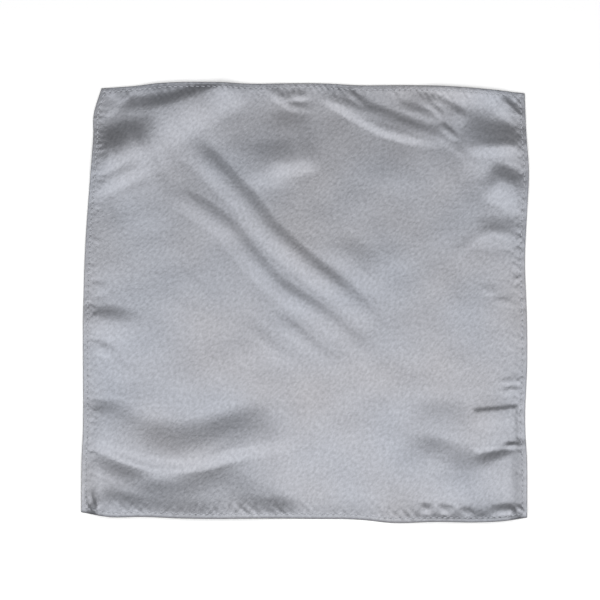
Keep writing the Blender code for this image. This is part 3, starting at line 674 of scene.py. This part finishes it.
# Rings from the top round the rolled edge to the back of the turned layer, as (inset, height).
nose_middle = HEM_SECTION[0][1] + CLOTH - NOSE_HALF_HEIGHT
edge_rings = [(EDGE_LINES[0] * (1 - np.cos(angle)), nose_middle + NOSE_HALF_HEIGHT * np.sin(angle))
              for angle in np.linspace(*np.radians(NOSE_ANGLES), NOSE_ROWS)]
nose_low = edge_rings[-1][1]
edge_rings += [(WRAP, nose_low), (WRAP, nose_low + CLOTH), (EDGE_LINES[0], nose_low + TURN_BACK)]
rim = rim_of(rows, columns)
ring = rim
count = len(top_points)
points, places, faces = [top_points], [rows_of(u, v)], [grid_faces(rows, columns)]
for inset, height in edge_rings:
    scale = (HALF - inset) / (HALF - EDGE_LINES[0])
    ring_u, ring_v = u.ravel()[rim] * scale, v.ravel()[rim] * scale
    ring_x, ring_y = spread(ring_u, ring_v)
    points.append(rows_of(ring_x, ring_y, folded(ring_u, ring_v) + height))
    places.append(rows_of(ring_u, ring_v))
    next_ring = count + np.arange(len(rim))
    faces.append(band_faces(next_ring, ring))
    ring = next_ring
    count += len(rim)
outer_faces = sum(len(part) for part in faces)
points.append(under_points)
places.append(rows_of(u[::2, ::2], v[::2, ::2]))
faces.append(half_band_faces(ring, rim_of(under_rows, under_rows) + count)[:, ::-1])
faces.append(grid_faces(under_rows, under_rows)[:, ::-1] + count)
faces = np.concatenate(faces)
material_of = np.zeros(len(faces), np.int32)
material_of[outer_faces:] = 1
square = add_mesh("satin_square", np.concatenate(points), faces, [satin, satin_back],
                  np.concatenate(places), material_of)
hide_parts("panel")
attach(square, "root")

# The turned hems. The edge of the same cloth is folded under twice and pressed, so a flat band lies
# under each side with the satin's right side facing down. The four bands meet in mitres.

# A band's width, the gap over it, the gap that its mitres leave, and its stations.
HEM_WIDTH = 0.0053
HEM_CLEAR = 0.00004
HEM_SPLIT = 0.00012
HEM_STATIONS = 181

# Section of a band, as (inset, share of its height). The thread draws a groove into both faces.
GROOVE = 0.00006
HEM_BAND = (
    (0.00110, 0.0),
    (0.0018, 0.0),
    (THREAD_INSET, 0.0),
    (0.0030, 0.0),
    (0.0040, 0.0),
    (0.00505, 0.0),
    (0.00524, 0.22),
    (HEM_WIDTH, 0.5),
    (0.00524, 0.78),
    (0.00505, 1.0),
    (0.0040, 1.0),
    (0.0030, 1.0),
    (THREAD_INSET, 1.0),
    (0.0018, 1.0),
    (0.00110, 1.0),
)


def on_side(turn, along, inset):
    """Cloth point of a place along one side, top, right, bottom or left, at a distance in from it."""
    out = HALF - inset
    return ((along, out), (out, along), (along, -out), (-out, along))[turn]


def outward(points, faces):
    """Faces turned so that they all point out: the volume that they enclose is then above zero."""
    a, b, c = points[faces[:, 0]], points[faces[:, 1]], points[faces[:, 2]]
    return faces if np.einsum("ij,ij->", a, np.cross(b, c)) > 0 else faces[:, ::-1]


def tube_faces(stations, corners):
    """Triangles round a closed section carried through stations, with both ends closed as fans."""
    index = np.arange(stations * corners).reshape(stations, corners)
    around = np.roll(index, -1, 1)
    near, far = index[:-1].ravel(), index[1:].ravel()
    near_next, far_next = around[:-1].ravel(), around[1:].ravel()
    first, last = index[0], index[-1]
    return np.concatenate([np.stack([near, far, far_next], 1), np.stack([near, far_next, near_next], 1),
                           np.stack([np.full(corners - 2, first[0]), first[1:-1], first[2:]], 1),
                           np.stack([np.full(corners - 2, last[0]), last[2:], last[1:-1]], 1)])


band_inset, band_share = np.array(HEM_BAND).T
groove = GROOVE * np.isclose(band_inset, THREAD_INSET) * (1 - 2 * band_share)
for turn, name in enumerate(("hem_top", "hem_right", "hem_bottom", "hem_left")):
    share_along = np.linspace(-1, 1, HEM_STATIONS)[:, None]
    along = share_along * (HALF - band_inset - HEM_SPLIT)
    u, v = on_side(turn, along, np.broadcast_to(band_inset, along.shape))
    x, y = spread(u, v)
    floor_z = folded(u, v) + nose_low
    ceiling_z = cloth_lift(u, v) - HEM_CLEAR
    z = floor_z + (ceiling_z - floor_z) * band_share + groove
    band_points = rows_of(x, y, z)
    faces = outward(band_points, tube_faces(HEM_STATIONS, len(HEM_BAND)))
    hem = add_mesh(name + "_band", band_points, faces, [satin], rows_of(u, v))
    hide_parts(name)
    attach(hem, "root")

# The care label. A bare ribbon, folded once, is caught in the right hem with its fold towards the
# middle. It lies under the cloth and shows from above only as a raised rectangle.

# Its thickness, the radius of its fold, where the fold lies, and how far short of the band it stops,
# so that the two don't cut into each other.
RIBBON = 0.00016
RIBBON_BEND = 0.00010
RIBBON_BEND_POINTS = 9
RIBBON_FOLD_U = 0.0900
RIBBON_STOP = 0.0019
RIBBON_END_U = HALF - HEM_WIDTH - RIBBON_STOP
RIBBON_HALF_WIDTH = 0.0090
RIBBON_STATIONS = 21

# Material: woven polyester ribbon, plain weave, matt. Its picks are drawn coarser than real, 0.6 mm
# apart, which is the wave's length at this scale, with a fine fuzz over them.
RIBBON_WHITE = "#E9E9E6"
RIBBON_SHADES = (0.86, 1.0)
RIBBON_BUMP = 0.00004
PICK_SCALE = 0.52
FUZZ_SCALE = 2.4
FUZZ_SHARE = 0.4

ribbon_finish, tree = new_material("white_woven_ribbon")
millimetres = cloth_millimetres(tree)
picks = add_node(tree, "ShaderNodeTexWave", {"bands_direction": "X"},
                 {"Vector": millimetres, "Scale": PICK_SCALE, "Distortion": 0.4, "Detail": 1.0})
fuzz = add_node(tree, "ShaderNodeTexNoise", {"noise_dimensions": "2D"},
                {"Vector": millimetres, "Scale": FUZZ_SCALE, "Detail": 2.0})
weave = add_node(tree, "ShaderNodeMix", {"data_type": "FLOAT"},
                 {"Factor": FUZZ_SHARE, "A": picks.outputs["Fac"], "B": fuzz.outputs["Fac"]})
shade = levels(tree, weave.outputs[0], (0, 1), RIBBON_SHADES)
add_finish(tree, {"Base Color": scaled(tree, linear(RIBBON_WHITE)[:3], shade), "Roughness": 0.7,
                  "Sheen Weight": 0.2, "Normal": add_bump(tree, weave.outputs[0], RIBBON_BUMP)})

# Its section is a loop: in along the lower layer, round the fold, and back along the upper layer.
bend = np.linspace(-np.pi / 2, -3 * np.pi / 2, RIBBON_BEND_POINTS)
bend_u = RIBBON_FOLD_U + RIBBON_BEND + RIBBON_BEND * np.cos(bend)
halfway_u = 0.5 * (RIBBON_END_U + RIBBON_FOLD_U)
middle_u = np.concatenate([[RIBBON_END_U, halfway_u], bend_u, [halfway_u, RIBBON_END_U]])
middle_z = np.concatenate([[-RIBBON_BEND] * 2, RIBBON_BEND * np.sin(bend), [RIBBON_BEND] * 2])
away_u = np.concatenate([[0, 0], np.cos(bend), [0, 0]])
away_z = np.concatenate([[-1, -1], np.sin(bend), [1, 1]])
loop_u = np.concatenate([middle_u + away_u * RIBBON / 2, (middle_u - away_u * RIBBON / 2)[::-1]])
loop_z = np.concatenate([middle_z + away_z * RIBBON / 2, (middle_z - away_z * RIBBON / 2)[::-1]])
station_v = LABEL_MIDDLE + RIBBON_HALF_WIDTH * np.linspace(-1, 1, RIBBON_STATIONS)
u, station = np.broadcast_arrays(loop_u[None, :], station_v[:, None])
v = station + LABEL_LEAN * (u - HALF)
x, y = spread(u, v)
z = folded(u, v) + RIBBON + RIBBON_BEND / 2 + loop_z[None, :]
ribbon_points = rows_of(x, y, z)
corners = len(loop_u)
sides = tube_faces(RIBBON_STATIONS, corners)[:-2 * (corners - 2)]
outer_run, inner_run = np.arange(corners // 2), np.arange(corners - 1, corners // 2 - 1, -1)
end_cap = np.concatenate([np.stack([outer_run[:-1], outer_run[1:], inner_run[:-1]], 1),
                          np.stack([outer_run[1:], inner_run[1:], inner_run[:-1]], 1)])
last_cap = end_cap[:, ::-1] + (RIBBON_STATIONS - 1) * corners
ribbon_faces = outward(ribbon_points, np.concatenate([sides, end_cap, last_cap]))
ribbon = add_mesh("care_label_ribbon", ribbon_points, ribbon_faces, [ribbon_finish], rows_of(u, v))
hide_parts("care_label")
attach(ribbon, "root")

# The hem's thread. One row of lock stitches runs 2.4 mm in from each edge, through the cloth and the
# band under it: a short length of thread shows for each stitch on both faces.

# A stitch's length, its rings as shares of half of that, the thread's size, how far its middle stands
# out and its ends dip in, and the least height over the table.
STITCH_LENGTH = 0.0022
STITCH_RINGS = (-0.86, -0.42, 0.42, 0.86)
STITCH_CORNERS = 6
THREAD_WIDTH = 0.00046
THREAD_HEIGHT = 0.00030
THREAD_RISE = 0.35
THREAD_SINK = 0.00016
TABLE_CLEAR = 0.00002

# No two stitches are alike: the least and most of their usual length, their lean and its spread, how
# far they stray from the row, and the seed.
STITCH_SHARES = (0.90, 1.06)
STITCH_LEAN = (0.22, 0.08)
STITCH_STRAY = 0.00004
STITCH_SEED = 5

# Material: polyester sewing thread, two plies twisted, with a dull gloss. The twist repeats every
# 0.8 mm along a side, which is the wave's length at this scale.
THREAD_SILVER = "#B7BAC1"
THREAD_SHADES = (0.86, 1.08)
THREAD_BUMP = 0.00004
TWIST_SCALE = 0.8

thread_finish, tree = new_material("silver_thread")
twist = add_node(tree, "ShaderNodeTexWave", {"bands_direction": "DIAGONAL"},
                 {"Vector": cloth_millimetres(tree), "Scale": TWIST_SCALE, "Distortion": 0.6})
shade = levels(tree, twist.outputs["Fac"], (0, 1), THREAD_SHADES)
add_finish(tree, {"Base Color": scaled(tree, linear(THREAD_SILVER)[:3], shade), "Metallic": 0.3,
                  "Roughness": 0.5, "Normal": add_bump(tree, twist.outputs["Fac"], THREAD_BUMP)})

# One stitch is a short thread with rounded ends: rings of six points between a pole at each end.
ring_share = np.array(STITCH_RINGS)
round_turn = np.linspace(0, 2 * np.pi, STITCH_CORNERS, endpoint=False)
fat = np.sqrt(1 - ring_share**4)
shape_along = np.concatenate([[-1.0], np.repeat(ring_share, STITCH_CORNERS), [1.0]])
shape_across = np.concatenate([[0.0], (fat[:, None] * np.cos(round_turn)).ravel(), [0.0]])
shape_up = np.concatenate([[0.0], (fat[:, None] * np.sin(round_turn)).ravel(), [0.0]])
body = 1 + np.arange(len(ring_share) * STITCH_CORNERS).reshape(-1, STITCH_CORNERS)
pole = len(shape_along) - 1
start_fan = np.stack([np.zeros(STITCH_CORNERS, int), body[0], np.roll(body[0], -1)], 1)
end_fan = np.stack([np.full(STITCH_CORNERS, pole), np.roll(body[-1], -1), body[-1]], 1)
bands = [band_faces(body[k + 1], body[k]) for k in range(len(body) - 1)]
shape_faces = np.concatenate([start_fan, end_fan] + bands)

chance = np.random.default_rng(STITCH_SEED)
for face_name, face in (("top", 1), ("under", -1)):
    points, places = [], []
    for turn in range(4):
        centre = (np.arange(STITCHES_A_SIDE) - (STITCHES_A_SIDE - 1) / 2) * PITCH
        length = STITCH_LENGTH / 2 * chance.uniform(*STITCH_SHARES, STITCHES_A_SIDE)
        lean = chance.normal(*STITCH_LEAN, STITCHES_A_SIDE)
        shift = chance.normal(0, STITCH_STRAY, STITCHES_A_SIDE)
        along = centre[:, None] + length[:, None] * shape_along
        inset = THREAD_INSET + shift[:, None] + lean[:, None] * length[:, None] * shape_along
        inset = inset + THREAD_WIDTH / 2 * shape_across
        u, v = on_side(turn, along, inset)
        x, y = spread(u, v)
        end_dip = THREAD_SINK * shape_along**2
        if face > 0:
            surface = cloth_lift(u, v) + CLOTH
        else:
            surface = folded(u, v) + nose_low + GROOVE
        z = surface + face * (THREAD_RISE * THREAD_HEIGHT + THREAD_HEIGHT / 2 * shape_up - end_dip)
        points.append(rows_of(x, y, np.maximum(z, TABLE_CLEAR)))
        places.append(rows_of(u, v))
    points, places = np.concatenate(points), np.concatenate(places)
    stitch_of = np.arange(4 * STITCHES_A_SIDE)[:, None, None] * len(shape_along)
    faces = (shape_faces[None] + stitch_of).reshape(-1, 3)
    thread = add_mesh("hem_stitches_" + face_name, points, outward(points, faces), [thread_finish], places)
    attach(thread, "root")

# The table: a plain pale board, not part of the object. Material: matt paint with faint clouds.
TABLE_HALF = 3.0
BOARD_SHADES = (0.93, 0.96)
board, tree = new_material("pale_board")
clouds = add_node(tree, "ShaderNodeTexNoise", {}, {"Scale": 6.0, "Detail": 2.0})
add_finish(tree, {"Base Color": levels(tree, clouds.outputs["Fac"], (0, 1), BOARD_SHADES),
                  "Roughness": 0.8})
table_mesh = bpy.data.meshes.new("table")
table_corners = np.array([(-1, -1, 0), (1, -1, 0), (1, 1, 0), (-1, 1, 0)]) * TABLE_HALF
table_mesh.from_pydata(table_corners.tolist(), [], [(0, 1, 2, 3)])
table_mesh.materials.append(board)
table = bpy.data.objects.new("table", table_mesh)
bpy.context.scene.collection.objects.link(table)

# The light: one wide window overhead, towards the photo's lower side, and a dim room.
WINDOW_PLACE = (0.0, -0.66, 1.5)
WINDOW_SIZE = (2.6, 2.1)
WINDOW_POWER = 48.0
ROOM_LIGHT = 0.12
window_light = bpy.data.lights.new("window", "AREA")
window_light.shape = "RECTANGLE"
window_light.size, window_light.size_y = WINDOW_SIZE
window_light.energy = WINDOW_POWER
window = bpy.data.objects.new("window", window_light)
window.location = WINDOW_PLACE
bpy.context.scene.collection.objects.link(window)
room = bpy.data.worlds.new("room")
room.use_nodes = True
room.node_tree.nodes["Background"].inputs["Color"].default_value = (1, 1, 1, 1)
room.node_tree.nodes["Background"].inputs["Strength"].default_value = ROOM_LIGHT
bpy.context.scene.world = room
bpy.context.scene.view_settings.view_transform = "Standard"

# The camera: a metre away, on the photo's lower side, tipped 8 degrees from straight down and turned
# by less than one. It aims a little to the left of the square's middle.
CAMERA_DISTANCE = 1.0
CAMERA_TILT = np.radians(7.98)
CAMERA_TURN = np.radians(0.9)
CAMERA_LENS = 113.9
CAMERA_ASIDE = 0.0042
camera_data = bpy.data.cameras.new("camera")
camera_data.lens = CAMERA_LENS
camera = bpy.data.objects.new("camera", camera_data)
tilt_sin, tilt_cos = np.sin(CAMERA_TILT), np.cos(CAMERA_TILT)
turn_sin, turn_cos = np.sin(CAMERA_TURN), np.cos(CAMERA_TURN)
aim = OFFSET + np.array([-turn_cos * CAMERA_ASIDE, -turn_sin * CAMERA_ASIDE, 0])
camera.location = aim + CAMERA_DISTANCE * np.array([turn_sin * tilt_sin, -turn_cos * tilt_sin, tilt_cos])
camera.rotation_euler = (CAMERA_TILT, 0, CAMERA_TURN)
bpy.context.scene.collection.objects.link(camera)
bpy.context.scene.camera = camera
